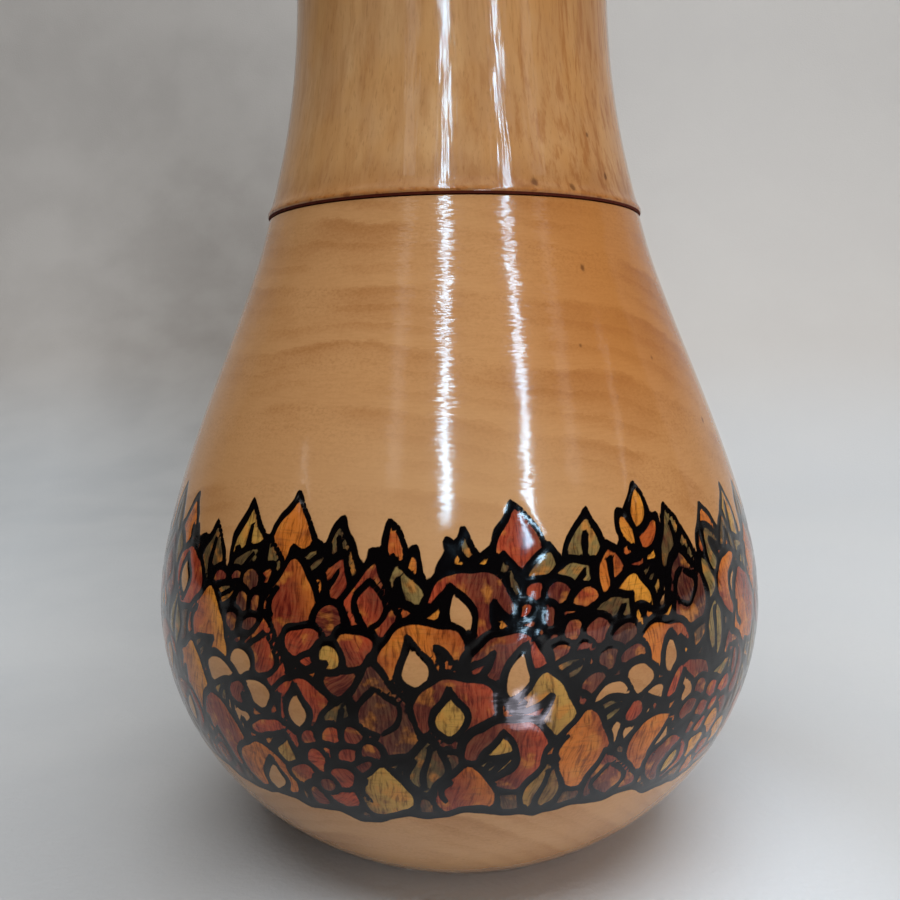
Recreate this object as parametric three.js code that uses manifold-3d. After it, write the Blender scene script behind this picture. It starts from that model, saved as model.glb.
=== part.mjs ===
// Turned wooden spice box: a hollow pear-shaped box, and a hollow waisted lid that plugs into its mouth.
// The lid's top is closed by a low domed disc, pierced so that the scent of the spices comes through.
// The origin is the centre of the foot and +Z runs up the turning axis. Lengths are in millimetres.

import * as THREE from 'three';
import { mergeVertices } from 'three/addons/utils/BufferGeometryUtils.js';
import Module from 'manifold-3d';

const wasm = await Module();
wasm.setup();

// Outside of the box, from the foot past the belly to the rim

const footRadius = 16;
const footRound = 0.6;
const bellyRadius = 35;
const bellyHeight = 28;
const shoulderHeight = 43.05;
const rimRadius = 21.35;
const rimRound = 0.2;
const bellyFullnessShare = 0.288;
const rimFullnessShare = 0.246;
const rimSlopeShare = 0.23;

// Inside of the box: the well for the spices, and the straight mouth that takes the lid's spigot

const bellyWall = 6;
const floorThickness = 7;
const rimWall = 5.85;
const spigotRunout = 2.4;
const wellFullnessShare = 0.55;
const wellShoulderShare = 0.2;

// Clearances between the pieces

const spigotClearance = 0.3;
const seamGap = 0.3;
const discClearance = 0.3;

// Lid: spigot, thin lip with a short flare, neck with its waist, and the wide top with a seat for the disc

const spigotLength = 10;
const spigotWall = 3.7;
const spigotChamfer = 0.8;
const lipOverhang = 0.12;
const lipHeight = 0.35;
const lipRound = 0.15;
const lipFlareWidth = 0.64;
const lipFlareHeight = 1.35;
const lipPullShare = 0.33;
const lipSlopeShare = 0.7;
const waistWall = 5.9;
const waistHeight = 25;
const flareHeight = 24;
const topRound = 2;
const topRimWidth = 5.3;
const neckSlopeShare = 0.264;
const neckFullnessShare = 0.2;
const waistFullnessShare = 0.49;
const flareSlopeShare = 0.3;
const flareFullnessShare = 0.3;

// Pierced disc

const discLedge = 4;
const discThickness = 3.2;
const domeRise = 1.8;
const discRound = 0.4;
const scentHoleRadius = 1.25;
const holeWeb = 2.6;
const holeMargin = 3;
const holeOverrun = 1;
const holesPerRing = 6;

// Fineness of the faceted surfaces

const turningSides = 60;
const holeSides = 12;
const roundSteps = 3;
const domeSteps = 5;
const curveSteps = 9;
const lipSteps = 3;

// Sizes worked out from the ones above

const rimHeight = bellyHeight + shoulderHeight;
const mouthRadius = rimRadius - rimWall;
const mouthDepth = spigotLength + spigotRunout;
const wellTop = rimHeight - mouthDepth;
const wellRadius = bellyRadius - bellyWall;

const lidBase = rimHeight + seamGap;
const spigotRadius = mouthRadius - spigotClearance;
const boreRadius = spigotRadius - spigotWall;
const lipRadius = rimRadius + lipOverhang;
const lipTop = lidBase + lipHeight;
const neckFootRadius = lipRadius - lipFlareWidth;
const neckFootLevel = lipTop + lipFlareHeight;
const waistRadius = boreRadius + waistWall;
const waistLevel = neckFootLevel + waistHeight;
const lidTop = waistLevel + flareHeight;

const discSeatRadius = boreRadius + discLedge;
const discRadius = discSeatRadius - discClearance;
const discSeatLevel = lidTop - discThickness - discClearance;
const topRadius = discSeatRadius + topRimWidth;

const rightAngle = Math.PI / 2;
const fullTurn = 2 * Math.PI;

// Points of a curve after its first one, because the point before it is already in the outline
function along(curve, steps) {
  return curve.getPoints(steps).slice(1);
}

// A round edge or an elliptical stretch of an outline, from one angle to another about its centre
function arc(radius, level, halfWidth, halfHeight, from, to, steps) {
  const curve = new THREE.EllipseCurve(radius, level, halfWidth, halfHeight, from, to, to < from);
  return along(curve, steps);
}

// A smooth stretch of an outline between two points, pulled out along its two handles
function sweep(start, startHandle, endHandle, end, steps) {
  return along(new THREE.CubicBezierCurve(start, startHandle, endHandle, end), steps);
}

// Each corner is a point of radius and height
function corner(radius, level) {
  return new THREE.Vector2(radius, level);
}

// A geometry with shared corners only, without the faces that shrink to nothing on the axis
function closed(geometry) {
  geometry.deleteAttribute('normal');
  geometry.deleteAttribute('uv');
  const merged = mergeVertices(geometry);
  const corners = merged.index.array;
  const kept = [];
  for (let i = 0; i < corners.length; i += 3) {
    const [a, b, c] = corners.slice(i, i + 3);
    if (a !== b && b !== c && c !== a) {
      kept.push(a, b, c);
    }
  }
  merged.setIndex(kept);
  return merged;
}

// A solid turned about the vertical axis from an outline of radius and height
function turned(outline) {
  const shape = new THREE.LatheGeometry(outline, turningSides);
  shape.rotateX(rightAngle);
  return closed(shape);
}

function solidOf(geometry) {
  const mesh = new wasm.Mesh({
    numProp: 3,
    vertProperties: new Float32Array(geometry.attributes.position.array),
    triVerts: new Uint32Array(geometry.index.array),
  });
  return new wasm.Manifold(mesh);
}

function geometryOf(solid) {
  const { vertProperties, triVerts } = solid.getMesh();
  const geometry = new THREE.BufferGeometry();
  geometry.setAttribute('position', new THREE.BufferAttribute(vertProperties, 3));
  geometry.setIndex(new THREE.BufferAttribute(triVerts, 1));
  return geometry;
}

// The box

// Below the belly the outside is part of an ellipse that reaches the foot's radius at the ground
function boxOutside() {
  const footSpreadShare = footRadius / bellyRadius;
  const bellyDrop = bellyHeight / Math.sqrt(1 - footSpreadShare * footSpreadShare);
  const footAngle = Math.asin((footRound - bellyHeight) / bellyDrop);
  const footSide = corner(bellyRadius * Math.cos(footAngle), footRound);
  const belly = corner(bellyRadius, bellyHeight);
  const bellyHandle = corner(bellyRadius, bellyHeight + shoulderHeight * bellyFullnessShare);
  const rimPull = shoulderHeight * rimFullnessShare;
  const rim = corner(rimRadius, rimHeight - rimRound);
  const rimHandle = corner(rimRadius + rimPull * rimSlopeShare, rimHeight - rimRound - rimPull);
  return [
    corner(0, 0),
    corner(footRadius - footRound, 0),
    footSide,
    ...arc(0, bellyHeight, bellyRadius, bellyDrop, footAngle, 0, curveSteps),
    ...sweep(belly, bellyHandle, rimHandle, rim, curveSteps),
    ...arc(rimRadius - rimRound, rimHeight - rimRound, rimRound, rimRound, 0, rightAngle, roundSteps),
  ];
}

// From the mouth down the straight bore, then out under the shoulder and round to the floor
function boxInside() {
  const shoulder = wellTop - bellyHeight;
  const mouthFoot = corner(mouthRadius, wellTop);
  const mouthHandle = corner(mouthRadius, wellTop - shoulder * wellShoulderShare);
  const wellHandle = corner(wellRadius, bellyHeight + shoulder * wellFullnessShare);
  const wellDrop = bellyHeight - floorThickness;
  return [
    corner(mouthRadius, rimHeight),
    mouthFoot,
    ...sweep(mouthFoot, mouthHandle, wellHandle, corner(wellRadius, bellyHeight), curveSteps),
    ...arc(0, bellyHeight, wellRadius, wellDrop, 0, -rightAngle, curveSteps),
  ];
}

function makeBox() {
  return turned([...boxOutside(), ...boxInside()]);
}

// The lid

// The outside, from the lip at the seam past the short flare and the waist up to the wide rim at the top
function lidOutside() {
  const lipEdge = corner(lipRadius, lipTop);
  const lipPull = lipFlareHeight * lipPullShare;
  const lipHandle = corner(lipRadius - lipPull * lipSlopeShare, lipTop + lipPull);
  const lipFlareHandle = corner(neckFootRadius + lipPull * neckSlopeShare, neckFootLevel - lipPull);
  const neckFoot = corner(neckFootRadius, neckFootLevel);
  const neckPull = waistHeight * neckFullnessShare;
  const neckHandle = corner(neckFootRadius - neckPull * neckSlopeShare, neckFootLevel + neckPull);
  const waist = corner(waistRadius, waistLevel);
  const waistUnder = corner(waistRadius, waistLevel - waistHeight * waistFullnessShare);
  const waistOver = corner(waistRadius, waistLevel + flareHeight * waistFullnessShare);
  const flarePull = flareHeight * flareFullnessShare;
  const flare = corner(topRadius, lidTop - topRound);
  const flareHandle = corner(topRadius - flarePull * flareSlopeShare, lidTop - topRound - flarePull);
  return [
    ...arc(lipRadius - lipRound, lidBase + lipRound, lipRound, lipRound, -rightAngle, 0, roundSteps),
    lipEdge,
    ...sweep(lipEdge, lipHandle, lipFlareHandle, neckFoot, lipSteps),
    ...sweep(neckFoot, neckHandle, waistUnder, waist, curveSteps),
    ...sweep(waist, waistOver, flareHandle, flare, curveSteps),
    ...arc(topRadius - topRound, lidTop - topRound, topRound, topRound, 0, rightAngle, roundSteps),
  ];
}

// The seat for the disc, the bore through the neck, and the spigot below the seam
function lidInside() {
  const spigotFoot = lidBase - spigotLength;
  return [
    corner(discSeatRadius, lidTop),
    corner(discSeatRadius, discSeatLevel),
    corner(boreRadius, discSeatLevel),
    corner(boreRadius, spigotFoot),
    corner(spigotRadius - spigotChamfer, spigotFoot),
    corner(spigotRadius, spigotFoot + spigotChamfer),
    corner(spigotRadius, lidBase),
  ];
}

function makeLid() {
  const start = corner(lipRadius - lipRound, lidBase);
  return turned([start, ...lidOutside(), ...lidInside(), start]);
}

// The pierced disc

// The dome is part of a sphere that rises by domeRise over the disc's own width
function domedDisc() {
  const underside = discSeatLevel + discClearance;
  const shoulderLevel = underside + discThickness;
  const crownWidth = discRadius - discRound;
  const sphereRadius = (crownWidth * crownWidth + domeRise * domeRise) / (2 * domeRise);
  const sphereLevel = shoulderLevel + domeRise - sphereRadius;
  const crownAngle = Math.acos(crownWidth / sphereRadius);
  return turned([
    corner(0, underside),
    corner(discRadius - discRound, underside),
    corner(discRadius, underside + discRound),
    corner(discRadius, shoulderLevel - discRound),
    ...arc(crownWidth, shoulderLevel - discRound, discRound, discRound, 0, rightAngle, roundSteps),
    ...arc(0, sphereLevel, sphereRadius, sphereRadius, crownAngle, rightAngle, domeSteps),
  ]);
}

// One hole in the middle, and rings round it that each hold six more, as many as the disc has room for
function holeCentres() {
  const holePitch = 2 * scentHoleRadius + holeWeb;
  const rings = Math.floor((discRadius - holeMargin) / holePitch);
  const centres = [new THREE.Vector2()];
  for (let ring = 1; ring <= rings; ring += 1) {
    const count = holesPerRing * ring;
    for (let i = 0; i < count; i += 1) {
      const centre = new THREE.Vector2(ring * holePitch, 0);
      centres.push(centre.rotateAround(new THREE.Vector2(), (i / count) * fullTurn));
    }
  }
  return centres;
}

function scentHole(centre) {
  const depth = discThickness + domeRise + 2 * holeOverrun;
  const drill = new THREE.CylinderGeometry(scentHoleRadius, scentHoleRadius, depth, holeSides);
  drill.rotateX(rightAngle);
  drill.translate(centre.x, centre.y, discSeatLevel + discClearance - holeOverrun + depth / 2);
  return solidOf(closed(drill));
}

function makePiercedDisc() {
  let disc = solidOf(domedDisc());
  for (const centre of holeCentres()) {
    disc = disc.subtract(scentHole(centre));
  }
  return geometryOf(disc);
}

// Lacquered woods

const boxWood = new THREE.MeshStandardMaterial({ color: 0xb38a5c, roughness: 0.28, metalness: 0 });
const lidWood = new THREE.MeshStandardMaterial({ color: 0xa67e50, roughness: 0.28, metalness: 0 });
const discWood = new THREE.MeshStandardMaterial({ color: 0xa87f4f, roughness: 0.35, metalness: 0 });

function piece(name, geometry, material) {
  const mesh = new THREE.Mesh(geometry, material);
  mesh.name = name;
  return mesh;
}

const lid = new THREE.Group();
lid.add(piece('waisted_lid', makeLid(), lidWood));
lid.add(piece('pierced_disc', makePiercedDisc(), discWood));

const spiceBox = new THREE.Group();
spiceBox.add(piece('pear_box', makeBox(), boxWood));
spiceBox.add(lid);

export default spiceBox;
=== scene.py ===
# %% [markdown]
# # A turned wooden spice box with a painted band
# The object is three pieces of turned wood: a hollow pear-shaped box, a waisted lid that plugs into its mouth, and a
# low domed disc with scent holes that closes the top of the lid. A painted band runs round the belly under a clear
# gloss lacquer. The solid model is the frame: it says how big each piece is, where it sits and how the lid moves.
# Everything below dresses that frame.

# %% Load the frame
import math
import bpy
import numpy as np
from mathutils import Euler, Matrix, Vector


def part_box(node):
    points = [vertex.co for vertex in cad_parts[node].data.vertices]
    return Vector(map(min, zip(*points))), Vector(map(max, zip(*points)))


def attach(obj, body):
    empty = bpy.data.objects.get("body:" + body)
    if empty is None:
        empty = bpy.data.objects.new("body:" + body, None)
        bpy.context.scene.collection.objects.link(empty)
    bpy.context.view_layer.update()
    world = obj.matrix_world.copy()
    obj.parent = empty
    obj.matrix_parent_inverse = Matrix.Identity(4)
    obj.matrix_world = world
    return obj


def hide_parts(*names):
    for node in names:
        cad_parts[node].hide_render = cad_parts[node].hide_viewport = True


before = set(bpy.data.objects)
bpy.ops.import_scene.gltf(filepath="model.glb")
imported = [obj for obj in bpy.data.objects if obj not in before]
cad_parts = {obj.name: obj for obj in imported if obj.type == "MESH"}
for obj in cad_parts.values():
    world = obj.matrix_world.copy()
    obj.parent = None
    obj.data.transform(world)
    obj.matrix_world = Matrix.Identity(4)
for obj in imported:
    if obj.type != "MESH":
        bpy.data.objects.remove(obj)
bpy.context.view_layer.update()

mm = 0.001
full_turn = 2 * math.pi
tiny = 1e-6

# %% [markdown]
# ## Objects and meshes
# Blender shows an object only once it is linked to the scene, and a mesh is made from lists of corners and faces. Two
# helpers do that for the camera, the lamps and every piece.

# %% Write the object helpers
def put_in_scene(name, data):
    thing = bpy.data.objects.new(name, data)
    bpy.context.scene.collection.objects.link(thing)
    return thing


def mesh_object(name, corners, faces):
    mesh = bpy.data.meshes.new(name)
    mesh.from_pydata(corners, [], faces)
    return put_in_scene(name, mesh)


# %% [markdown]
# ## The camera
# The photograph was taken from very near, so the belly looks wide and the neck narrow. A camera 106 mm from the turning
# axis gives the same foreshortening.

# %% Place the camera
camera_spot, lens_mm, sensor_mm = (-0.84, -106, 57.4), 35.2, 36
looks_down, leans = 7.05, -0.73
lens = bpy.data.cameras.new("camera")
lens.sensor_width, lens.lens, lens.clip_start = sensor_mm, lens_mm, 5 * mm
camera = put_in_scene("camera", lens)
camera.location = [part * mm for part in camera_spot]
look = Euler((math.radians(90 - looks_down), 0, 0)).to_matrix()
lean = Euler((0, 0, math.radians(leans))).to_matrix()
camera.rotation_euler = (look @ lean).to_euler()
bpy.context.scene.camera = camera
print("camera at", camera_spot, "mm, looking down by", looks_down, "degrees")

# %% [markdown]
# ## Reading the outlines from the solids
# A turned piece is wholly described by half of its section: the outline that the turner cuts. The frame's solids have
# a column of corners exactly in the plane x = 0. The edges there are joined end to end into one line of (radius,
# height) pairs in millimetres. The solids keep a working gap at the seam. On the real box the lid sits down on the
# rim, so most of that gap is closed here.

# %% Read an outline
def outline_links(node):
    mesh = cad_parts[node].data
    links = {}
    for edge in mesh.edges:
        ends = [mesh.vertices[i].co for i in edge.vertices]
        if all(abs(end.x) < tiny and end.y < tiny for end in ends):
            keys = [(round(-end.y / mm, 3), round(end.z / mm, 3)) for end in ends]
            for here, there in (keys, keys[::-1]):
                links.setdefault(here, set()).add(there)
    return links


def walk_outline(links, start, after):
    line = [start, after]
    while True:
        onward = [point for point in links[line[-1]] if point != line[-2]]
        if not onward or onward[0] == start:
            return np.array(line)
        line.append(onward[0])


box_links = outline_links("pear_box")
foot_middle = (0.0, 0.0)
box_outline = walk_outline(box_links, foot_middle, next(iter(box_links[foot_middle])))

lid_links = outline_links("waisted_lid")
near_lip = 0.9 * max(radius for radius, _ in lid_links)
lip_start = min((point for point in lid_links if point[0] > near_lip), key=lambda point: point[1])
lid_outline = walk_outline(lid_links, lip_start, max(lid_links[lip_start]))
lid_outline = np.concatenate([lid_outline, lid_outline[:1]])
lip_level, seam_closing, same_level = lip_start[1], 0.21, 0.001
lid_outline[np.abs(lid_outline[:, 1] - lip_level) < same_level, 1] -= seam_closing
print("outline points: box", len(box_outline), "lid", len(lid_outline))

# %% [markdown]
# ## Smoothing the outlines
# Flat facets would show as kinks in a gloss reflection. So the outline is cut at its real corners, and each stretch
# between them is drawn again as a smooth curve through the same points. A corner is a sharp turn, or the place where a
# level or upright cut starts.

# %% Find the corners and refine the stretches
sharp_turn, slight_turn = 34, 5


def turns_of(line):
    runs = np.diff(line, axis=0)
    heading = np.degrees(np.arctan2(runs[:, 1], runs[:, 0]))
    turn = np.abs((np.diff(heading) + 180) % 360 - 180)
    straight = np.abs((heading + 45) % 90 - 45) < 0.01
    one_straight = straight[1:] != straight[:-1]
    return (turn > sharp_turn) | ((turn > slight_turn) & one_straight)


def smooth_stretch(points, spacing):
    if len(points) == 2:
        count = max(1, math.ceil(np.hypot(*(points[1] - points[0])) / spacing(points.mean(0))))
        return points[0] + np.linspace(0, 1, count + 1)[:, None] * (points[1] - points[0])
    steps = np.hypot(*np.diff(points, axis=0).T)
    slopes = np.diff(points, axis=0) / steps[:, None]
    inner = slopes[:-1] * steps[1:, None] + slopes[1:] * steps[:-1, None]
    inner /= (steps[:-1] + steps[1:])[:, None]
    tangents = np.concatenate([[2 * slopes[0] - inner[0]], inner, [2 * slopes[-1] - inner[-1]]])
    smooth = [points[0]]
    for i, step in enumerate(steps):
        a, b = points[i], points[i + 1]
        count = max(1, math.ceil(step / spacing((a + b) / 2)))
        for share in np.arange(1, count + 1) / count:
            s2, s3 = share ** 2, share ** 3
            smooth.append((2 * s3 - 3 * s2 + 1) * a + (3 * s2 - 2 * s3) * b
                          + (s3 - 2 * s2 + share) * step * tangents[i] + (s3 - s2) * step * tangents[i + 1])
    return np.array(smooth)


def refine(line, spacing):
    corners = [0, *(np.nonzero(turns_of(line))[0] + 1), len(line) - 1]
    stretches = [smooth_stretch(line[a:b + 1], spacing) for a, b in zip(corners, corners[1:])]
    return np.concatenate([stretches[0], *(stretch[1:] for stretch in stretches[1:])])


# %% [markdown]
# ## Turning a skin
# A skin is a mesh with one ring of corners for every point of the outline. The painted band needs far finer rings than
# the inside of the box, so each ring has its own number of corners. Where one ring has twice as many as the next,
# five-sided faces join them. A ring on the axis is a single corner.

# %% Build a skin from rings
def ring_corners(rings, columns):
    corners, starts = [], []
    for (radius, height), count in zip(rings, columns):
        starts.append(len(corners))
        if radius < tiny:
            corners.append((0.0, 0.0, height * mm))
            continue
        for azimuth in full_turn * np.arange(count) / count:
            corners.append((radius * mm * math.sin(azimuth), -radius * mm * math.cos(azimuth), height * mm))
    return corners, starts


def strip_faces(start_a, count_a, start_b, count_b):
    if count_a == 1:
        return [(start_a, start_b + (k + 1) % count_b, start_b + k) for k in range(count_b)]
    if count_b == 1:
        return [(start_a + k, start_a + (k + 1) % count_a, start_b) for k in range(count_a)]
    coarse = min(count_a, count_b)
    step_a, step_b = count_a // coarse, count_b // coarse
    faces = []
    for k in range(coarse):
        below = [start_a + (k * step_a + i) % count_a for i in range(step_a + 1)]
        above = [start_b + (k * step_b + i) % count_b for i in range(step_b + 1)]
        faces.append((*below, *reversed(above)))
    return faces


def turned_skin(name, rings, columns, closed_loop):
    columns = [1 if radius < tiny else count for (radius, _), count in zip(rings, columns)]
    if closed_loop:
        rings, columns = rings[:-1], columns[:-1]
    corners, starts = ring_corners(rings, columns)
    pairs = [(i, i + 1) for i in range(len(rings) - 1)]
    if closed_loop:
        pairs.append((len(rings) - 1, 0))
    faces, first_ring = [], []
    for a, b in pairs:
        new = strip_faces(starts[a], columns[a], starts[b], columns[b])
        faces += new
        first_ring += [a] * len(new)
    return mesh_object(name, corners, faces), np.array(first_ring), np.repeat(np.arange(len(rings)), columns)


# %% [markdown]
# ## The painted band: inks and paints
# The band is drawn by hand on the real box: near-black outlines less than a millimetre wide, and warm paints between
# them that let the wood show through. Here it is a generic pattern of traditional fruit and leaves, heaped up from a
# wavy black line to a row of pointed leaves. Each paint is a pair of colours, and a shape runs from one to the other.
# Bare wood counts as a paint too.

# %% Choose the paints
def paint(red, green, blue):
    levels = np.array([red, green, blue]) / 255
    return np.where(levels <= 0.04045, levels / 12.92, ((levels + 0.055) / 1.055) ** 2.4)


paints = {
    "terracotta": (paint(204, 112, 34), paint(132, 38, 24)),
    "crimson": (paint(172, 60, 34), paint(92, 22, 22)),
    "ochre": (paint(216, 144, 46), paint(172, 74, 26)),
    "plum": (paint(122, 44, 38), paint(62, 24, 28)),
    "olive": (paint(128, 112, 66), paint(70, 62, 40)),
    "gold": (paint(192, 148, 70), paint(124, 92, 44)),
    "bare": None,
}
ground_paint = paint(66, 50, 38)
print("paints:", ", ".join(paints))

# %% [markdown]
# ## The painted band: outlines of fruit and leaves
# Every motif is a few closed outlines laid over each other, each with a paint and perhaps some inner lines. They are
# drawn upright round their own middle, in millimetres, and turned and moved into place later.

# %% Draw the outlines
def oval(width, height, steps=36):
    turn = np.linspace(0, full_turn, steps, endpoint=False)
    return np.stack([np.cos(turn) * width / 2, np.sin(turn) * height / 2], 1)


def blade(length, width, fullness=0.85, steps=18):
    share = np.linspace(0, 1, steps)
    half = np.sin(math.pi * share ** fullness) * width / 2
    right = np.stack([half, (share - 0.5) * length], 1)
    return np.concatenate([right, (right * (-1, 1))[::-1][1:-1]])


def pear_outline(height, width):
    across, up = oval(2, 2).T
    half = width * (0.449 - 0.173 * up - 0.069 * up * up)
    return np.stack([across * half, up * height / 2], 1)


def crown(width, height):
    shares = [(-0.34, -0.3), (-0.6, 0.9), (-0.12, 0.4), (0.12, 0.4), (0.6, 0.9), (0.34, -0.3)]
    return np.array(shares) * (width, height)


def rib(across, length, bow):
    share = np.linspace(-0.5, 0.5, 7)
    return np.stack([across + bow * np.cos(math.pi * share), share * length], 1)


def placed(part, size, tilt, at):
    turn = size * np.array([[math.cos(tilt), -math.sin(tilt)], [math.sin(tilt), math.cos(tilt)]])
    outline = part["outline"] @ turn.T + at
    lines = [line @ turn.T + at for line in part["lines"]]
    return {**part, "outline": outline, "lines": lines, "brush": part["brush"] + tilt}


def shape(outline, paint_name, at=(0, 0), tilt=0.0, lines=()):
    lines = [np.asarray(line, float) for line in lines]
    part = {"outline": outline, "paint": paint_name, "lines": lines, "brush": 0.0}
    return placed(part, 1.0, tilt, np.array(at, float))


# %% [markdown]
# ## The painted band: the motifs
# Split pomegranates, figs, pears, bunches of grapes, five-petalled blossoms, ears of wheat, buds and leaves. The draws
# are seeded, so the band always comes out the same.

# %% Draw the fruit
def pomegranate(pick):
    lean = pick.uniform(-0.5, 0.5)
    side = 1 if lean < 0 else -1
    return [shape(crown(4.8, 3.4), pick.choice(["ochre", "terracotta"]), (0, 4.2)),
            shape(oval(10.4, 9.4), pick.choice(["terracotta", "crimson", "terracotta", "crimson"])),
            shape(blade(6.4, 3.4), pick.choice(["bare", "gold", "bare"]), (side * 1.1, -0.2), lean)]


def fig(pick):
    ribs = [rib(-0.2, 5.6, -2.2), rib(0.5, 5.2, 2.0)]
    return [shape(blade(11.6, 9.4, 0.6), pick.choice(["plum", "crimson", "plum"]), (0, 0.6), 0, ribs)]


def pear(pick):
    skin = pick.choice(["ochre", "gold", "ochre", "terracotta"])
    return [shape(blade(6.4, 3.2), "olive", (2.2, 5.2), -0.9, [[(0, -2.0), (0, 1.6)]]),
            shape(pear_outline(11.4, 9.8), skin, (0, 0.4), 0, [rib(-2.6, 3.4, -0.6)])]


def grapes(pick):
    parts = [shape(blade(8.4, 5.4), "olive", (1.5, 5.0), -0.7, [[(0, -2.6), (0, 2.2)]])]
    skin = pick.choice(["plum", "crimson"])
    for row, count in enumerate((3, 4, 3, 2)):
        for i in range(count):
            at = ((i - (count - 1) / 2) * 3.2, 3.2 - row * 2.8)
            parts.append(shape(oval(4.0, 4.0, 20), skin, at))
    return parts


def blossom(pick):
    petals = pick.choice(["bare", "ochre", "crimson", "bare"])
    parts = []
    for i in range(5):
        angle = i * full_turn / 5 + math.pi / 2
        at = (3.2 * math.cos(angle), 3.2 * math.sin(angle))
        parts.append(shape(oval(5.6, 4.8, 24), petals, at, angle))
    parts.append(shape(oval(3.4, 3.4, 18), pick.choice(["gold", "crimson"])))
    return parts


# %% Draw the leaves, ears and buds
def leaf(pick):
    vein = [[(0, -3.8), (0, 3.0)]]
    return [shape(blade(10.4, 5.2), pick.choice(["olive", "olive", "olive", "gold"]), (0, 0), 0, vein)]


def wheat(pick):
    parts = []
    for i in range(3):
        for side in (-1, 1):
            at = (side * 1.35, i * 2.7 - 3.2)
            parts.append(shape(blade(4.4, 2.5), pick.choice(["ochre", "gold"]), at, -side * 0.5))
    parts.append(shape(blade(4.8, 2.6), "ochre", (0, 4.4)))
    return parts


def spray(pick):
    parts, leaves = [], pick.choice(["olive", "terracotta", "olive"])
    for lean in (-0.85, 0.85, 0.0):
        at = (-math.sin(lean) * 3.0, math.cos(lean) * 3.0 - 1.8)
        parts.append(shape(blade(9.0, 5.0), leaves, at, lean, [[(0, -3.0), (0, 2.4)]]))
    return parts


def bud(pick):
    petals = shape(blade(9.6, 5.6), pick.choice(["terracotta", "crimson", "ochre"]), (0, 1.2))
    return [petals, *(shape(blade(6.4, 3.4), "olive", (side * 1.9, -1.6), -side * 0.4) for side in (-1, 1))]


# %% [markdown]
# ## The painted band: heaping the motifs up
# The rows are laid from the back to the front, so the pointed leaves rise behind the fruit and each lower row stands
# in front of the one above it. Heights are measured along the surface from the belly line, and positions round the
# box as millimetres of its widest girth. Small random shifts keep it from looking printed. Each row gives its height,
# spacing, size and most tilt, and the motifs that it takes in turn.

# %% Lay the rows
belly_mm = box_outline[:, 0].max()
girth_mm = full_turn * belly_mm
rows = (
    (9.7, 5.6, 0.86, 0.16, (leaf, bud, leaf, wheat, leaf, bud, leaf)),
    (7.2, 9.2, 0.8, 0.5, (spray, leaf, spray)),
    (6.2, 7.9, 0.74, 0.18, (pomegranate, pear, blossom, fig, pomegranate, grapes, pear, fig)),
    (1.7, 7.7, 0.74, 0.22, (grapes, pomegranate, leaf, pear, fig, blossom, pomegranate)),
    (-2.8, 7.7, 0.74, 0.24, (fig, spray, pomegranate, pear, blossom, pomegranate)),
    (-7.1, 7.7, 0.74, 0.26, (pomegranate, grapes, leaf, fig, pomegranate, pear)),
    (-11.0, 7.2, 0.68, 0.3, (pomegranate, blossom, pear, leaf, fig)),
)


def lay_rows():
    pick = np.random.default_rng(3)
    parts = []
    for index, (height, spacing, size, most_tilt, motifs) in enumerate(rows):
        count = round(girth_mm / spacing)
        for i in pick.permutation(count):
            across = (i + 0.5 * (index % 2)) * girth_mm / count + pick.uniform(-0.8, 0.8)
            up = height + pick.uniform(-0.9, 0.9) * (1.7 if index == 0 else 1)
            grown, tilt = size * pick.uniform(0.88, 1.12), pick.uniform(-most_tilt, most_tilt)
            motif = motifs[(i + 2 * index) % len(motifs)]
            parts += [placed(part, grown, tilt, np.array([across, up])) for part in motif(pick)]
    return parts


band_parts = lay_rows()
print("outlines in the band:", len(band_parts))

# %% [markdown]
# ## The painted band: from outlines to numbers on the skin
# The finish needs three things at every point of the skin: how far it is from the middle of the nearest ink line,
# which paint lies there, and how the brush ran. The material decides where the ink ends, which keeps the lines crisp
# although the mesh has only two or three corners to a millimetre.

# %% Measure ink, paint and brush
def distance_to(points, line, closed_line):
    starts = line if closed_line else line[:-1]
    ends = np.roll(line, -1, 0) if closed_line else line[1:]
    run = ends - starts
    gap = points[:, None] - starts
    share = np.clip((gap * run).sum(2) / np.maximum((run * run).sum(1), 1e-9), 0, 1)
    return np.hypot(*np.moveaxis(gap - share[..., None] * run, 2, 0)).min(1)


def inside_of(points, line):
    ends = np.roll(line, -1, 0)
    across, up = points[:, :1], points[:, 1:]
    crosses = (line[:, 1] > up) != (ends[:, 1] > up)
    rise = np.where(ends[:, 1] == line[:, 1], 1, ends[:, 1] - line[:, 1])
    meets = line[:, 0] + (up - line[:, 1]) / rise * (ends[:, 0] - line[:, 0])
    return ((crosses & (across < meets)).sum(1) % 2).astype(bool)


def shaky(u, v):
    t = u / belly_mm
    side = 0.2 * np.sin(31 * t + 0.9 * v) + 0.07 * np.sin(67 * t - 1.7 * v + 1.3)
    lift = 0.2 * np.sin(37 * t - 0.7 * v + 2.1) + 0.07 * np.sin(83 * t + 1.1 * v + 0.4)
    return u + side, v + lift


def lower_edge(u):
    t = u / belly_mm
    return -13.3 + 0.7 * np.sin(5 * t + 0.6) + 0.45 * np.sin(13 * t + 2.0) + 0.25 * np.sin(29 * t)


# %% Paint the band
far_off, line_reach = 9.0, 1.2
ink_thin, ink_thick = 0.31, 0.4


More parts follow.
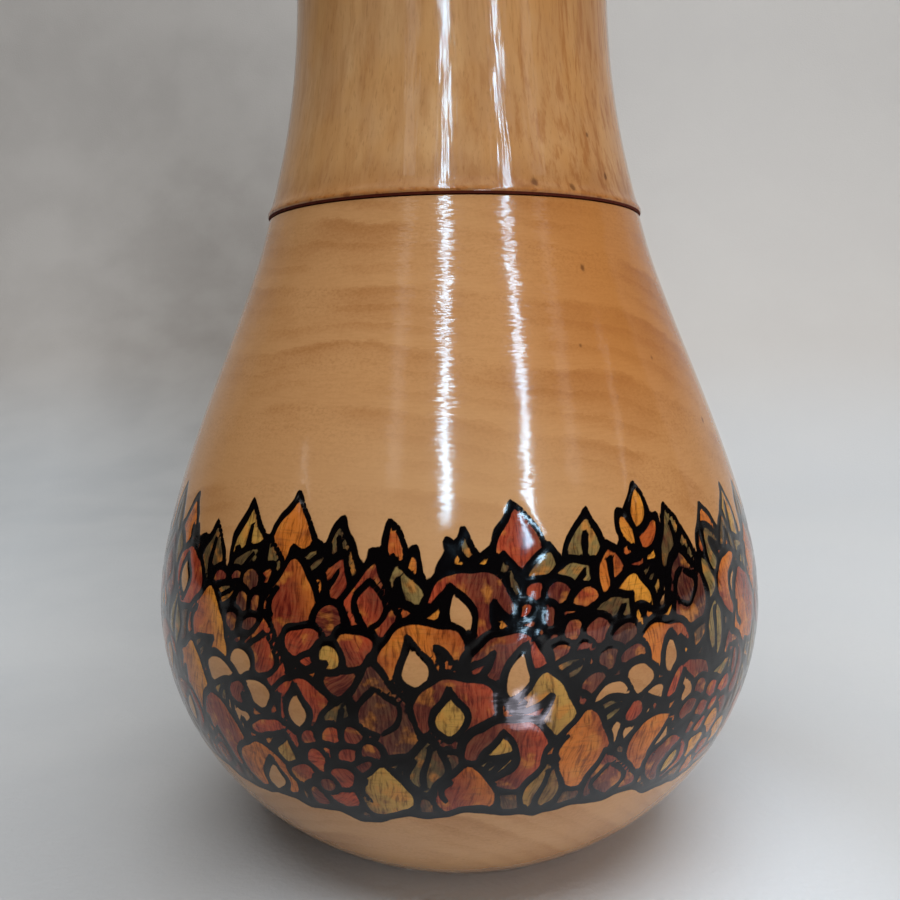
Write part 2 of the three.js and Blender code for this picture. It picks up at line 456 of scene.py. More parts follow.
class Band:
    def __init__(self, u, v):
        self.u, self.v = shaky(u, v)
        self.ink = np.full(len(u), far_off)
        self.paint = np.zeros((len(u), 4))
        self.brush = np.zeros((len(u), 3))

    def ground(self):
        t = self.u / belly_mm
        under = self.v < 7.0 + np.sin(9 * t) + 0.6 * np.sin(23 * t)
        self.paint[under] = (*ground_paint, 1)
        self.brush[under, 0], self.brush[under, 1] = self.u[under], self.v[under]

    def lay(self, number, part):
        outline, middle = part["outline"], part["outline"].mean(0)
        reach = np.abs(outline - middle).max(0) + line_reach
        du = (self.u - middle[0] + girth_mm / 2) % girth_mm - girth_mm / 2
        dv = self.v - middle[1]
        near = np.nonzero((np.abs(du) < reach[0]) & (np.abs(dv) < reach[1]))[0]
        if not len(near):
            return
        points = np.stack([du[near], dv[near]], 1)
        edge, inside = distance_to(points, outline - middle, True), inside_of(points, outline - middle)
        for line in part["lines"]:
            inner = distance_to(points, line - middle, False) + 0.05
            edge = np.where(inside, np.minimum(edge, inner), edge)
        self.ink[near] = np.where(inside, edge, np.minimum(self.ink[near], edge))
        self.fill(near[inside], points[inside], number, part)

    def fill(self, hit, points, number, part):
        c, s = math.cos(part["brush"]), math.sin(part["brush"])
        across, along = points @ (c, s), points @ (-s, c)
        self.brush[hit] = np.stack([across, along, np.full(len(hit), number * 3.7)], 1)
        self.paint[hit] = 0
        if paints[part["paint"]]:
            light, dark = paints[part["paint"]]
            share = np.clip(0.5 + 0.55 * np.sin(number * 1.9 + 0.5 * across + 0.25 * along), 0, 1)[:, None]
            self.paint[hit, :3] = light + (dark - light) * share
            self.paint[hit, 3] = 1

    def finish_edge(self):
        low = lower_edge(self.u)
        self.ink = np.where(self.v < low, low - self.v, np.minimum(self.ink, self.v - low))
        self.ink -= np.where(np.abs(self.v - low) < 0.9, 0.15, 0)
        self.paint[self.v < low] = 0


# %% [markdown]
# ## The box
# The rings are finest round the painted belly and coarsest inside, where only raw wood shows once the lid is off. The
# ink is slightly burnt into the surface, so the skin sinks under every line by a few hundredths of a millimetre. That
# is what breaks up the reflections over the band.

# %% Turn the box
band_low, band_high, band_spacing, plain_spacing = 12.0, 46.0, 0.4, 1.2
inside_columns, outside_columns, band_columns = 160, 320, 640
below_rim = box_outline[:, 1].max() - same_level
mouth_edge = int(np.nonzero(box_outline[:, 1] > below_rim)[0][-1])
inside_rings = refine(box_outline[mouth_edge:], lambda point: plain_spacing)
outside_rings = refine(box_outline[:mouth_edge + 1],
                       lambda point: band_spacing if band_low < point[1] < band_high else plain_spacing)
box_rings = np.concatenate([outside_rings, inside_rings[1:]])
rim_ring = int(np.argmax(box_rings[:, 1] > below_rim))
in_band = (box_rings[:, 1] > band_low) & (box_rings[:, 1] < band_high)
in_band[rim_ring:] = False
columns = np.full(len(box_rings), inside_columns)
columns[:rim_ring + 1] = outside_columns
columns[in_band] = band_columns
box_skin, box_face_rings, box_corner_rings = turned_skin("box_skin", box_rings, columns, False)
print("box skin:", len(box_skin.data.vertices), "corners,", len(box_skin.data.polygons), "faces")

# %% Measure the surface round the belly
arc_mm = np.concatenate([[0], np.cumsum(np.hypot(*np.diff(box_rings, axis=0).T))])
belly_ring = int(np.argmax(box_rings[:, 0]))
arc_mm -= arc_mm[belly_ring]
box_corners = np.array([corner.co for corner in box_skin.data.vertices]) / mm
azimuth_mm = np.arctan2(box_corners[:, 0], -box_corners[:, 1]) * belly_mm
on_band = in_band[box_corner_rings]
band = Band(azimuth_mm[on_band], arc_mm[box_corner_rings[on_band]])
band.ground()
for number, part in enumerate(band_parts):
    band.lay(number, part)
band.finish_edge()
inked_share = (band.ink < (ink_thin + ink_thick) / 2).mean()
print("band corners:", int(on_band.sum()), "ink share", round(float(inked_share), 2))

# %% Write the band onto the skin
line_depth, line_half = 0.05, 0.5


def write_on_skin(name, kind, key, values, elsewhere):
    full = np.tile(np.asarray(elsewhere, float), (len(on_band), 1))
    full[on_band] = values.reshape(on_band.sum(), -1)
    layer = box_skin.data.attributes.new(name, kind, "POINT")
    layer.data.foreach_set(key, full.astype(np.float32).ravel())


write_on_skin("ink_gap", "FLOAT", "value", band.ink, [far_off])
write_on_skin("paint", "FLOAT_COLOR", "color", band.paint, [0, 0, 0, 0])
write_on_skin("brush", "FLOAT_VECTOR", "vector", band.brush, [0, 0, 0])

sink = np.zeros(len(box_corners))
sink[on_band] = line_depth * np.clip(1 - (band.ink / line_half) ** 2, 0, 1)
outward = box_corners * (1, 1, 0)
outward /= np.maximum(np.linalg.norm(outward, axis=1, keepdims=True), 1e-9)
box_corners -= outward * sink[:, None]
box_skin.data.vertices.foreach_set("co", (box_corners * mm).astype(np.float32).ravel())
print("deepest line, mm:", round(float(sink.max()), 3))

# %% [markdown]
# ## The lid
# The lid is one turned loop: up the outside from the lip to the flared top, down the bore, and round the spigot that
# plugs into the box.

# %% Turn the lid
lid_spacing = 0.8
lid_rings = refine(lid_outline, lambda point: lid_spacing)
lid_columns = np.full(len(lid_rings), outside_columns)
lid_skin, lid_face_rings, _ = turned_skin("lid_skin", lid_rings, lid_columns, True)
print("lid skin:", len(lid_skin.data.vertices), "corners")

# %% [markdown]
# ## The pierced disc
# The disc is turned to a low dome and then drilled, and each hole's rim is softened a little. The blank is a skin like
# the others. Nineteen drills that widen at the top are joined into one cutter, and a Boolean takes them away.

# %% Turn the disc
disc_low, disc_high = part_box("pierced_disc")
disc_radius = disc_high[0] / mm
disc_foot, disc_crown = disc_low[2] / mm, disc_high[2] / mm
dome_rise, edge_round, disc_columns = 1.8, 0.4, 192
disc_flat = disc_radius - edge_round
sphere = (disc_flat ** 2 + dome_rise ** 2) / (2 * dome_rise)


def dome_height(radius):
    return disc_crown - sphere + math.sqrt(sphere ** 2 - radius ** 2)


def disc_outline():
    bend = disc_crown - dome_rise - edge_round
    line = [(0, disc_foot), (disc_flat, disc_foot), (disc_radius, disc_foot + edge_round)]
    for angle in np.radians([0, 22, 45, 68, 90]):
        line.append((disc_flat + edge_round * math.cos(angle), bend + edge_round * math.sin(angle)))
    for radius in disc_flat * (1 - np.linspace(0, 1, 13)[1:]):
        line.append((radius, dome_height(radius)))
    return np.array(line)


disc_rings = disc_outline()
disc_skin, _, _ = turned_skin("disc_skin", disc_rings, np.full(len(disc_rings), disc_columns), False)
print("disc blank:", len(disc_skin.data.vertices), "corners")

# %% Drill the disc
hole_radius, hole_pitch, softening, overshoot, drill_sides = 1.25, 5.1, 0.35, 1.0, 32


def drill_centres():
    rings = [oval(2 * ring * hole_pitch, 2 * ring * hole_pitch, 6 * ring) for ring in (1, 2)]
    return np.concatenate([[(0.0, 0.0)], *rings])


def make_cutter():
    corners, faces = [], []
    for x, y in drill_centres():
        top, wide, first = dome_height(math.hypot(x, y)), hole_radius + softening, len(corners)
        profile = [(hole_radius, disc_foot - overshoot), (hole_radius, top - softening), (wide, top + 0.12),
                   (wide, top + overshoot)]
        for radius, height in profile:
            for dx, dy in oval(2 * radius, 2 * radius, drill_sides):
                corners.append(((x + dx) * mm, (y + dy) * mm, height * mm))
        starts = range(first, len(corners), drill_sides)
        for below, above in zip(starts, starts[1:]):
            faces += strip_faces(below, drill_sides, above, drill_sides)
        faces.append(tuple(reversed(range(first, first + drill_sides))))
        faces.append(tuple(range(starts[-1], len(corners))))
    return mesh_object("drills", corners, faces)


def drill(disc):
    cutter = make_cutter()
    cut = disc.modifiers.new("drill", "BOOLEAN")
    cut.object, cut.solver = cutter, "EXACT"
    shaped = disc.evaluated_get(bpy.context.evaluated_depsgraph_get())
    disc.data = bpy.data.meshes.new_from_object(shaped)
    disc.modifiers.clear()
    bpy.data.objects.remove(cutter)


drill(disc_skin)
print("disc skin:", len(disc_skin.data.vertices), "corners and", len(drill_centres()), "holes")

# %% [markdown]
# ## Small helpers for finishes
# A finish is a network of nodes. The helpers below add a node or two and return the output, so a finish reads like a
# recipe. A socket that is handed in is wired up, and a plain number is typed into the node. Grain is a stretched noise,
# given by its waves to the millimetre in each direction. A veil is a tone laid over what is there, with a share that
# grows from nothing to its strength as a value goes from low to high.

# %% Write the finish helpers
class Look:
    def __init__(self, name):
        self.material = bpy.data.materials.new(name)
        self.material.use_nodes = True
        self.tree = self.material.node_tree
        self.shader = self.tree.nodes["Principled BSDF"]

    def put(self, socket, value):
        if isinstance(value, bpy.types.NodeSocket):
            self.tree.links.new(value, socket)
        else:
            socket.default_value = value

    def add(self, kind, inputs, **settings):
        node = self.tree.nodes.new("ShaderNode" + kind)
        for key, value in settings.items():
            setattr(node, key, value)
        for key, value in inputs.items():
            self.put(node.inputs[key], value)
        return node

    def maths(self, operation, a, b=0.0):
        return self.add("Math", {0: a, 1: b}, operation=operation).outputs[0]

    def times(self, a, b):
        return self.maths("MULTIPLY", a, b)

    def vector(self, operation, a, b=(0, 0, 0)):
        return self.add("VectorMath", {0: a, 1: b}, operation=operation).outputs[0]

    def stretched(self, place, scale):
        return self.vector("MULTIPLY", place, scale)

    def place(self):
        return self.stretched(self.add("TexCoord", {}).outputs["Object"], (1 / mm,) * 3)

    def split(self, place):
        return self.add("SeparateXYZ", {"Vector": place}).outputs

    def distance(self, place, spot, scale=(1, 1, 1)):
        offset = self.stretched(self.vector("SUBTRACT", place, spot), scale)
        return self.add("VectorMath", {0: offset}, operation="LENGTH").outputs["Value"]

    def outward(self, place):
        return self.vector("NORMALIZE", self.stretched(place, (1, 1, 0)))

    def wrapped(self, place, radius):
        round_it = self.stretched(self.outward(place), (radius, radius, 0))
        return self.vector("ADD", round_it, self.stretched(place, (0, 0, 1)))

    def drifted(self, place, scale, reach):
        drift = self.add("TexNoise", {"Vector": place, "Scale": scale}).outputs["Color"]
        return self.vector("ADD", place, self.stretched(drift, reach))

    def noise(self, place, scale, detail=2.0, roughness=0.5):
        inputs = {"Vector": place, "Scale": scale, "Detail": detail, "Roughness": roughness}
        return self.add("TexNoise", inputs).outputs["Fac"]

    def grain(self, place, scale, detail=3.0, roughness=0.6):
        return self.noise(self.stretched(place, scale), 1.0, detail, roughness)

    def spread(self, value, low, high, out_low=0.0, out_high=1.0, curve="SMOOTHSTEP"):
        inputs = {"Value": value, "From Min": low, "From Max": high, "To Min": out_low, "To Max": out_high}
        return self.add("MapRange", inputs, interpolation_type=curve).outputs["Result"]

    def mix(self, share, a, b, way="MIX"):
        node = self.add("Mix", {}, data_type="RGBA", blend_type=way)
        for index, value in ((0, share), (6, a), (7, b)):
            self.put(node.inputs[index], value)
        return node.outputs[2]

    def veil(self, under, value, low, high, strength, colour):
        return self.mix(self.spread(value, low, high, 0.0, strength), under, colour)

    def relief(self, height, depth_mm, under=None):
        inputs = {"Height": height, "Distance": depth_mm * mm, "Strength": 1.0}
        if under is not None:
            inputs["Normal"] = under
        return self.add("Bump", inputs).outputs["Normal"]

    def shade(self, colour, roughness, normal, shine=0.5):
        names = ("Base Color", "Roughness", "Normal", "Specular IOR Level")
        for name, value in zip(names, (colour, roughness, normal, shine)):
            self.put(self.shader.inputs[name], value)
        return self.material


def tone(red, green, blue):
    return (*paint(red, green, blue).tolist(), 1.0)


# %% [markdown]
# ## The wood of the box
# The box is cut from a pale, close-grained wood with the grain lying across the turning axis, so the yearly rings
# cross the neck of the pear as low arches. Each has a crisp dark upper edge that fades downwards, with finer lines in
# between, and the darker wood is dotted with fleck. The rings are drawn round an imagined pith in space, and the skin
# cuts through them as the chisel did, so nothing smears where the pear narrows.

# %% Colour the box wood
early_wood, late_wood = tone(196, 147, 98), tone(178, 126, 78)
pith, rings_per_mm, fine_rings = (-6, 0, -2), 0.17, 3.0


def box_wood(look, place):
    bent = look.drifted(place, 0.035, (5, 5, 9))
    ragged = look.times(look.grain(place, (0.6, 0.6, 1.6), 4.0, 0.65), 0.2)
    age = look.maths("ADD", look.times(look.distance(bent, pith, (1, 0.1, 1)), rings_per_mm), ragged)
    ring, fine = look.maths("FRACT", age), look.maths("FRACT", look.times(age, fine_rings))
    late = look.times(look.spread(ring, 0.1, 0.9, curve="LINEAR"), look.spread(ring, 1.0, 0.9))
    late = look.maths("ADD", late, look.times(look.spread(fine, 0.4, 0.9), 0.5))
    patches = look.noise(look.stretched(place, (1, 1, 1.6)), 0.06)
    strength = look.times(late, look.spread(patches, 0.4, 0.62, 0.0, 0.9))
    return fleck(look, place, look.mix(strength, early_wood, late_wood), late)


def fleck(look, place, wood, late):
    dots = look.grain(place, (3.0, 3.0, 4.6), 2.0)
    fibre = look.grain(place, (0.5, 0.5, 4.0))
    cloud = look.noise(place, 0.06)
    share = look.times(late, look.spread(dots, 0.46, 0.66, 0.0, 0.16))
    share = look.maths("ADD", look.spread(dots, 0.4, 0.7, 0.0, 0.07), share)
    wood = look.mix(share, wood, tone(144, 96, 54))
    wood = look.veil(wood, fibre, 0.4, 0.66, 0.18, tone(168, 116, 68))
    wood = look.veil(wood, dots, 0.44, 0.25, 0.14, tone(206, 164, 114))
    return look.veil(wood, cloud, 0.4, 0.7, 0.3, tone(205, 157, 108)), dots


# %% [markdown]
# ## Lacquer
# A clear gloss coat covers the wood and the paint. It is never quite level: the brush leaves soft waves, and the grain
# shows through it as fine ridges, which run round the box and upright on the lid. Each leans a degree or two sideways,
# which frays the long reflections, and less so over the belly. Under the coat the wood has no shine of its own,
# because lacquer and wood bend light about equally.

# %% Lay the lacquer
def lacquer(look, place, ridge_place, ridge_scale, lean):
    facing = look.add("NewGeometry", {}).outputs["Normal"]
    sideways = look.vector("CROSS_PRODUCT", (0, 0, 1), facing)
    ridges = look.grain(ridge_place, ridge_scale, 1.0, 0.5)
    waves = look.noise(place, 0.3)
    high_up = look.spread(look.split(place)[2], 44, 66, 0.35, 1.0, "LINEAR")
    rough = look.times(look.spread(waves, 0.35, 0.65, 0.55, 1.0), high_up)
    tilt = look.times(look.spread(ridges, 0.35, 0.65, -lean, lean, "LINEAR"), rough)
    leaning = look.vector("NORMALIZE", look.vector("ADD", facing, look.stretched(sideways, tilt)))
    return look.relief(waves, 0.03, leaning)


def finish_wood(look, wood, roughness, normal):
    for name, value in (("Normal", normal), ("Weight", 1.0), ("Roughness", 0.1), ("IOR", 1.4)):
        look.put(look.shader.inputs["Coat " + name], value)
    return look.shade(wood, roughness, normal, 0.0)


# %% [markdown]
# ## Paint and ink over the box wood
# The paint is thin: brush streaks run through it, lighter where it is thin and darker where strokes overlap. The ink
# is an almost black line whose width wavers as the hand pressed harder or softer.

# %% Lay the paint and the ink
def paint_over(look, place, wood):
    layer = look.add("Attribute", {}, attribute_name="paint")
    brush = look.add("Attribute", {}, attribute_name="brush").outputs["Vector"]
    strokes = look.grain(brush, (4.0, 0.6, 1))
    blots = look.noise(place, 0.6, 3.0)
    fibre = look.grain(place, (0.5, 0.5, 4.5))
    tint = look.veil(layer.outputs["Color"], blots, 0.52, 0.7, 0.65, tone(206, 128, 48))
    tint = look.veil(tint, blots, 0.46, 0.3, 0.5, tone(92, 26, 24))
    tint = look.veil(tint, strokes, 0.54, 0.32, 0.6, tone(52, 24, 22))
    tint = look.veil(tint, fibre, 0.5, 0.7, 0.3, tone(40, 22, 20))
    cover = look.times(layer.outputs["Alpha"], look.spread(strokes, 0.3, 0.75, 1.0, 0.82))
    return look.mix(cover, wood, tint)


def ink_over(look, place, under):
    gap = look.add("Attribute", {}, attribute_name="ink_gap").outputs["Fac"]
    half_width = look.spread(look.noise(place, 0.9), 0.25, 0.75, ink_thin, ink_thick, "LINEAR")
    past_edge = look.maths("SUBTRACT", gap, half_width)
    return look.veil(under, past_edge, 0.05, -0.05, 1.0, tone(7, 5, 6))


# %% [markdown]
# ## Knots, and the whole finish of the box
# A few pin knots sit in the box and the lid, given by place and radius in millimetres. The box has a paler patch low
# on its front, and painted shade makes it darker and warmer towards its right side, most of all on the shoulder.

# %% Put the box finish together
box_knots = (
    (12.1, -20.1, 64.3, 0.34), (11.4, -23.8, 56.9, 0.2), (19.2, -18.9, 55.6, 0.26), (25.4, -15.1, 49.0, 0.34),
    (-27.6, -11.0, 45.8, 0.3), (-8.0, 24.0, 58.0, 0.3), (16.0, 22.0, 52.5, 0.36),
)
lid_knots = (
    (11.4, -17.8, 72.0, 0.42), (13.3, -14.4, 77.8, 0.28), (15.3, -13.8, 73.8, 0.34), (7.5, -19.6, 72.3, 0.45),
    (-15.8, 12.0, 76.0, 0.4), (3.0, 17.6, 90.0, 0.3), (-6.0, -18.0, 108.0, 0.35),
)


def knots(look, place, wood, spots):
    ragged = look.times(look.noise(place, 2.2), 0.3)
    for x, y, z, radius in spots:
        away = look.maths("ADD", look.distance(place, (x, y, z), (1, 1, 0.75)), ragged)
        wood = look.veil(wood, away, radius + 0.2, radius - 0.1, 0.7, tone(84, 48, 28))
    return wood


def make_box_finish():
    look = Look("box lacquered wood")
    place = look.place()
    wood, dots = box_wood(look, place)
    level, side = look.split(place)[2], look.split(look.outward(place))[0]
    # Painted shade: darker and warmer towards the right side, most of all on the shoulder.
    warm = look.times(look.spread(side, 0.0, 0.6, 0.0, 0.8), look.spread(level, 44, 58, 0.3, 1.0))
    wood = look.mix(warm, wood, tone(238, 206, 156), "MULTIPLY")
    from_patch = look.distance(place, (-1, -33, 43), (0.6, 0.6, 1.0))
    wood = look.veil(wood, from_patch, 13, 3, 0.5, tone(204, 162, 118))
    wood = knots(look, place, wood, box_knots)
    inked = ink_over(look, place, paint_over(look, place, wood))
    roughness = look.spread(dots, 0.2, 0.8, 0.32, 0.48)
    return finish_wood(look, inked, roughness, lacquer(look, place, place, (0.9, 0.9, 10), 0.034))


box_finish = make_box_finish()
print("box finish:", len(box_finish.node_tree.nodes), "nodes")

# %% [markdown]
# ## The wood of the lid
# The lid is turned with the grain standing upright, so it shows long thin streaks from the seam to the waist. It is
# a little darker and yellower than the box, with dark heartwood streaks on the right, where painted shade also makes it
# redder and darker. It is darker towards the lip and worn to a warm orange edge there. The ridges in its lacquer are
# wrapped round the axis, so they keep one width.

# %% Put the lid finish together
def make_lid_finish():
    look = Look("lid lacquered wood")
    place = look.place()
    bent = look.drifted(place, 0.05, (1.5, 1.5, 6))
    broad = look.grain(bent, (0.3, 0.3, 0.012), 3.0, 0.55)
    thin = look.grain(bent, (1.3, 1.3, 0.07), 4.0, 0.62)
    pores = look.grain(bent, (4.5, 4.5, 0.3), 2.0)
    cloudy = look.grain(bent, (0.22, 0.22, 0.1))
    across, _, level = look.split(place)
    right = look.spread(across, -4, 15)
    wood = look.mix(look.spread(broad, 0.3, 0.7), tone(207, 165, 117), tone(186, 141, 96))
    wood = look.veil(wood, cloudy, 0.35, 0.65, 0.6, tone(198, 148, 92))
    wood = look.veil(wood, thin, 0.42, 0.72, 0.36, tone(162, 110, 64))
    heart = look.times(look.spread(thin, 0.48, 0.64, 0.0, 0.36), right)
    wood = look.mix(heart, wood, tone(154, 88, 40))
    wood = look.veil(wood, pores, 0.54, 0.75, 0.3, tone(140, 96, 56))
    # Painted shade: redder and darker towards the right.
    wood = look.mix(look.times(right, 0.5), wood, tone(238, 214, 182), "MULTIPLY")
    # Darker towards the lip.
    darker_near_lip = look.spread(level, lip_level + 4.5, lip_level + 0.8, 0.0, 0.7)
    wood = look.mix(darker_near_lip, wood, tone(226, 214, 206), "MULTIPLY")
    wood = knots(look, place, worn_lip(look, place, level, wood), lid_knots)
    roughness = look.spread(thin, 0.2, 0.8, 0.3, 0.45)
    normal = lacquer(look, place, look.wrapped(bent, 20), (6.5, 6.5, 0.22), 0.038)
    return finish_wood(look, wood, roughness, normal)


def worn_lip(look, place, level, wood):
    wear = look.grain(place, (1, 1, 2), 3.0, 0.5)
    lip = look.spread(level, lip_level + 0.6, lip_level + 0.2)
    rubbed = look.times(lip, look.spread(wear, 0.4, 0.6, 0.3, 0.8))
    dented = look.times(lip, look.spread(wear, 0.54, 0.66, 0.0, 0.5))
    return look.mix(dented, look.mix(rubbed, wood, tone(190, 120, 58)), tone(96, 50, 26))


lid_finish = make_lid_finish()
print("lid finish:", len(lid_finish.node_tree.nodes), "nodes")

# %% [markdown]
# ## Raw wood, seam grime and shade, and the disc
# Inside the box, in the bore and on the spigot there is no lacquer. Bare turned wood is paler, dull and slightly
# furry, with rings left by the chisel. The lip's lower face is dark with grime and with painted shade, so the seam
# reads as a dark line. The disc has its grain lying flat.

# %% Finish the raw wood, the seam grime and shade, and the disc
def make_raw_finish(name, light, dark, across, upright):
    look = Look(name)
    place = look.place()
    streak = look.grain(place, (across, across, upright), 4.0)
    chisel = look.grain(place, (0.05, 0.05, 1.6))
    wood = look.mix(look.spread(streak, 0.3, 0.7), light, dark)
    wood = look.veil(wood, chisel, 0.5, 0.7, 0.3, dark)
    normal = look.relief(streak, 0.03, look.relief(chisel, 0.05))
    return look.shade(wood, look.spread(streak, 0.2, 0.8, 0.62, 0.85), normal)


def make_dull_finish(name, scale, light, dark, smooth, rough, depth_mm):
    look = Look(name)
    dust = look.noise(look.place(), scale, 3.0)
    roughness = look.spread(dust, 0.2, 0.8, smooth, rough)
    return look.shade(look.mix(dust, light, dark), roughness, look.relief(dust, depth_mm), 0.1)


def make_disc_finish():
    look = Look("disc lacquered wood")
    place = look.place()
    streak = look.grain(look.drifted(place, 0.06, (5, 5, 5)), (0.08, 1.3, 1.3), 4.0)
    rings = look.noise(look.stretched(place, (1, 1, 0)), 0.4)
    wood = look.mix(look.spread(streak, 0.3, 0.7), tone(200, 154, 104), tone(166, 122, 76))
    normal = look.relief(streak, 0.006, look.relief(rings, 0.03))
    return finish_wood(look, wood, look.spread(streak, 0.2, 0.8, 0.32, 0.46), normal)


box_raw = make_raw_finish("box raw wood", tone(198, 162, 118), tone(168, 126, 84), 0.3, 1.8)
lid_raw = make_raw_finish("lid raw wood", tone(190, 150, 104), tone(158, 116, 74), 1.4, 0.08)
# The lip's lower face: dark grime and painted shade, so the seam reads as a dark line.
seam_grime_and_shade = make_dull_finish("lip edge grime and painted shade", 1.5, tone(104, 40, 20), tone(66, 26, 16), 0.7, 0.9, 0.02)
disc_finish = make_disc_finish()
print("disc finish:", len(disc_finish.node_tree.nodes), "nodes")

# %% [markdown]
# ## Putting finishes on pieces
# Every face knows which ring it hangs from, so the lacquered outside and the raw inside are told apart by ring. Each
# piece is shaded smooth with its real corners kept sharp, rides on its body and takes the place of its plain solid.

# %% Dress the pieces
sharp_edge = math.radians(35)


def dress(skin, finishes, face_finishes, body, node):
    for finish in finishes:
        skin.data.materials.append(finish)
    skin.data.polygons.foreach_set("material_index", np.asarray(face_finishes, dtype=np.int32))
    skin.data.shade_smooth()
    skin.data.set_sharp_from_angle(angle=sharp_edge)
    skin.data.update()
    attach(skin, body)
    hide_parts(node)
    print(skin.name, "rides on", body, "and stands for", node)


seat_ring = int(np.nonzero(lid_rings[:, 1] > lid_rings[:, 1].max() - same_level)[0][-1])
lower_face = (lid_rings[:, 1] < lip_level - seam_closing + 0.02) & (lid_rings[:, 0] > near_lip)
lid_finishes = np.where(lower_face, 2, np.arange(len(lid_rings)) >= seat_ring)[lid_face_rings]
dress(box_skin, [box_finish, box_raw], box_face_rings >= rim_ring, "box", "pear_box")
dress(lid_skin, [lid_finish, lid_raw, seam_grime_and_shade], lid_finishes, "lid", "waisted_lid")
dress(disc_skin, [disc_finish], np.zeros(len(disc_skin.data.polygons)), "lid", "pierced_disc")

# %% [markdown]
# ## Floor and backdrop
# A pale cloth runs level under the object and curves up behind it, so no line shows where the floor ends. Light and
# shade are painted on it: it is cooler and lighter low down and to the right, with a painted soft shadow on the left
# behind the object, a painted cool pool of light round the foot and a painted dark shadow in front, which the belly
# mirrors. All of that is painted on the cloth, because lamps for it would also change the object.

# %% Hang the sweep
def hang_sheet(name, edges):
    corners = [corner for edge in edges for corner in edge]
    faces = [(2 * i, 2 * i + 1, 2 * i + 3, 2 * i + 2) for i in range(len(edges) - 1)]
    return mesh_object(name, corners, faces)


def make_cloth_finish():
    look = Look("pale cloth")
    place = look.place()
    x, y, z = look.split(place)
    # Painted light: cooler and lighter low down and towards the right.
    right = look.spread(x, -190, 190)
    near_left = look.mix(look.spread(y, -25, 60), tone(166, 170, 174), tone(188, 194, 199))
    upper = look.mix(right, tone(177, 174, 171), tone(213, 211, 209))
    cloth = look.mix(look.spread(z, 60, -10), upper, look.mix(right, near_left, tone(218, 223, 228)))
    # Painted shadow on the left behind the object.
    behind = look.maths("ADD", x, look.times(y, 0.36))
    shade = look.times(look.spread(behind, -75, 10, curve="LINEAR"), look.spread(x, 30, -30))
    shade = look.times(shade, look.spread(z, 60, 260, 1.0, 0.0, "LINEAR"))
    cloth = look.mix(shade, cloth, tone(194, 190, 186), "MULTIPLY")
    # Painted light: a cool pool round the foot.
    near_foot = look.spread(look.distance(place, (12, -14, 0)), 46, 18, 0.0, 0.9)
    cloth = look.mix(look.times(near_foot, look.spread(x, -45, -5)), cloth, tone(232, 243, 254))
    cloudy = look.noise(place, 0.03, 4.0)
    cloth = look.veil(cloth, cloudy, 0.3, 0.7, 0.12, tone(226, 226, 224))
    # Painted shadow: a dark stretch in front, which the belly mirrors.
    in_front = look.times(look.spread(y, -30, -75), look.spread(x, 90, -30, 0.1, 1.0))
    cloth = look.mix(in_front, cloth, tone(114, 110, 105))
    weave = look.relief(look.noise(place, 1.2, 3.0), 0.1)
    return look.shade(cloth, look.spread(cloudy, 0.2, 0.8, 0.8, 0.95), weave)


half, near, back, bend, top = 1.6, -1.4, 0.42, 0.22, 1.9
profile = [(near, 0.0), (back - bend, 0.0)]
for angle in np.radians(np.linspace(6, 90, 15)):
    profile.append((back - bend + bend * math.sin(angle), bend - bend * math.cos(angle)))
profile.append((back, top))
sweep = hang_sheet("sweep", [((-half, y, z), (half, y, z)) for y, z in profile])
sweep.data.shade_smooth()
sweep.data.materials.append(make_cloth_finish())
print("sweep:", len(sweep.data.polygons), "faces")

# %% [markdown]
# ## A dark screen in front
# In the photograph the lacquer mirrors a dim room in which only the lamps shine, and so the ink stays black. A dark
# curved screen behind the camera and the lamps keeps the soft light of the room out of the mirror. It ends on the
# right, where the photograph shows a pale veil along the edge. Like the lamps, it isn't seen directly, so the
# background stays pale from every side.

# %% Stand the screen
radius, height, first, last, panes = 0.56, 0.7, -112, 100, 53
turns = np.radians(np.linspace(first, last, panes + 1))
spots = [(radius * math.sin(turn), -radius * math.cos(turn)) for turn in turns]
screen = hang_sheet("dark screen", [((x, y, 0.0), (x, y, height)) for x, y in spots])
screen.visible_camera = False
felt = make_dull_finish("dark felt", 0.8, tone(10, 10, 11), tone(18, 17, 17), 0.9, 1.0, 0.2)
screen.data.materials.append(felt)
print("screen:", len(screen.data.polygons), "panes")

# %% [markdown]
# ## Light
# Three broad soft lamps, overhead and in front, light the wood and stay out of the lacquer's mirror. Nine narrow ones
# do the opposite: they show in the mirror and light nothing. The two bright streaks down the front are two long cool
# strips, the fainter ones beside them are weaker lamps farther round, and the soft glint low on the band is a pair of
# small lamps just above the floor. Each lamp is a rectangle that faces the belly, given by the two ends of its middle
# line, its width and how bright it looks.

# %% Set the lamps
belly = Vector((0, 0, 45)) * mm
white, soft_white, warm_white = (1, 1, 1), (1.0, 0.98, 0.96), (1.0, 0.96, 0.92)
cool, violet = (0.5, 0.77, 1.0), (0.9, 0.85, 1.0)


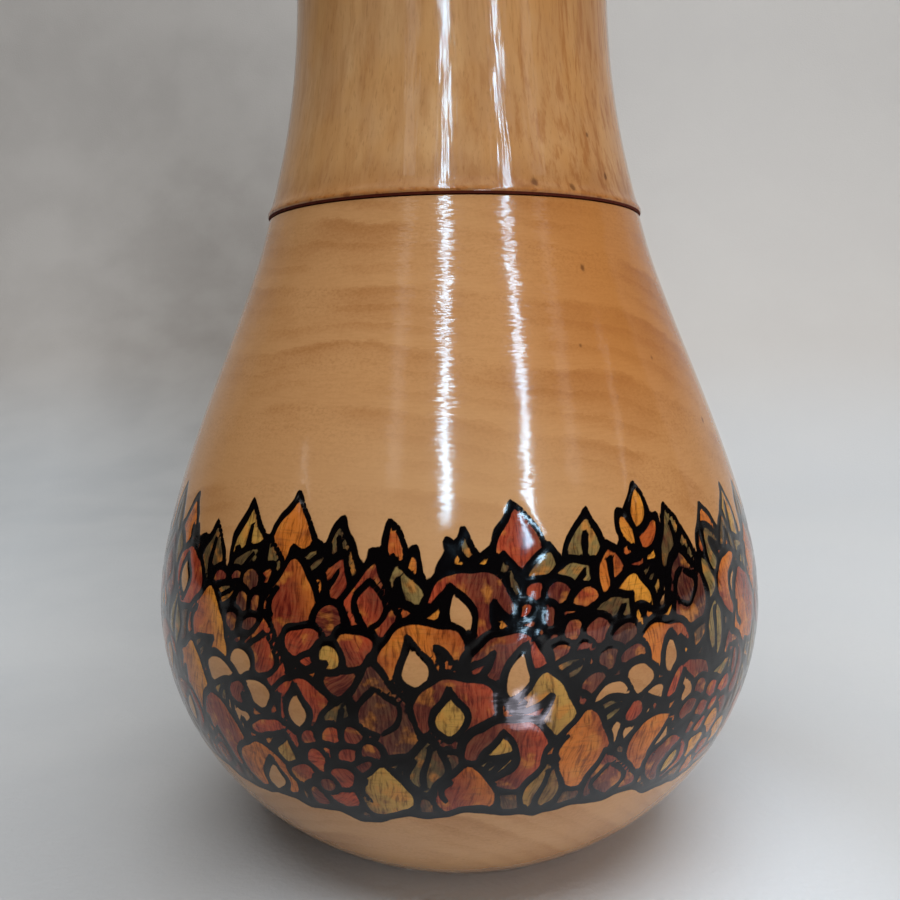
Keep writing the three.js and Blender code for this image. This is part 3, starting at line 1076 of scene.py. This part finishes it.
def set_lamp(name, foot, top, width, radiance, colour):
    foot, top = Vector(foot) * mm, Vector(top) * mm
    light = bpy.data.lights.new(name, "AREA")
    light.shape = "RECTANGLE"
    light.size, light.size_y = width * mm, (top - foot).length
    light.energy = radiance * math.pi * light.size * light.size_y
    light.color = colour
    lamp = put_in_scene(name, light)
    middle = (foot + top) / 2
    upright = (top - foot).normalized()
    away = middle - belly
    away = (away - away.dot(upright) * upright).normalized()
    lamp.matrix_world = Matrix((upright.cross(away), upright, away)).transposed().to_4x4()
    lamp.location = middle
    lamp.visible_camera = False
    return lamp


mirrored = (
    ("strip left", (-34, -431, 232), (-70, -414, 967), 20, 60, cool),
    ("strip right", (185, -390, 190), (343, -268, 967), 17, 60, cool),
    ("low right", (154, -405, 14), (170, -399, 110), 9, 40, cool),
    ("floor glint", (18, -60, 2), (28, -96, 2), 12, 5, violet),
    ("floor glint heart", (20, -64, 2), (25, -84, 2), 6, 9, violet),
    ("faint left", (-191, -385, 275), (-224, -358, 480), 46, 1.6, white),
    ("faint far left", (-398, -221, 205), (-420, -170, 262), 8, 4, white),
    ("faint right", (310, -294, 244), (354, -223, 400), 40, 1.2, white),
    ("faint far right", (156, -78, 94), (162, -40, 154), 1.8, 5, white),
)
soft = (
    ("overhead", (0, -620, 800), (0, 60, 800), 900, 3.95, soft_white),
    ("front", (120, -480, 5), (120, -480, 450), 640, 0.5, soft_white),
    ("low front", (320, -390, 5), (320, -390, 110), 500, 3.5, warm_white),
)
for lamp in mirrored:
    set_lamp(*lamp).visible_diffuse = False
for lamp in soft:
    set_lamp(*lamp).visible_glossy = False
print("lamps:", len(mirrored), "in the mirror and", len(soft), "on the wood")

# %% [markdown]
# ## The room
# The world is an even, almost white room that lights the object weakly from all round. The camera sees it twice as
# bright, so that the background stays pale where the cloth ends.

# %% Light the room
lights_at, seen_at = 0.3, 0.6
world = bpy.data.worlds.new("soft room")
world.use_nodes = True
nodes, links = world.node_tree.nodes, world.node_tree.links
room = nodes["Background"]
room.inputs["Color"].default_value = (1.0, 0.99, 0.98, 1)
seen = nodes.new("ShaderNodeLightPath").outputs["Is Camera Ray"]
brightness = nodes.new("ShaderNodeMapRange")
brightness.inputs["To Min"].default_value = lights_at
brightness.inputs["To Max"].default_value = seen_at
links.new(seen, brightness.inputs["Value"])
links.new(brightness.outputs["Result"], room.inputs["Strength"])
bpy.context.scene.world = world
bpy.context.scene.view_settings.view_transform = "Standard"
print("room: lights at", lights_at, "and is seen at", seen_at)
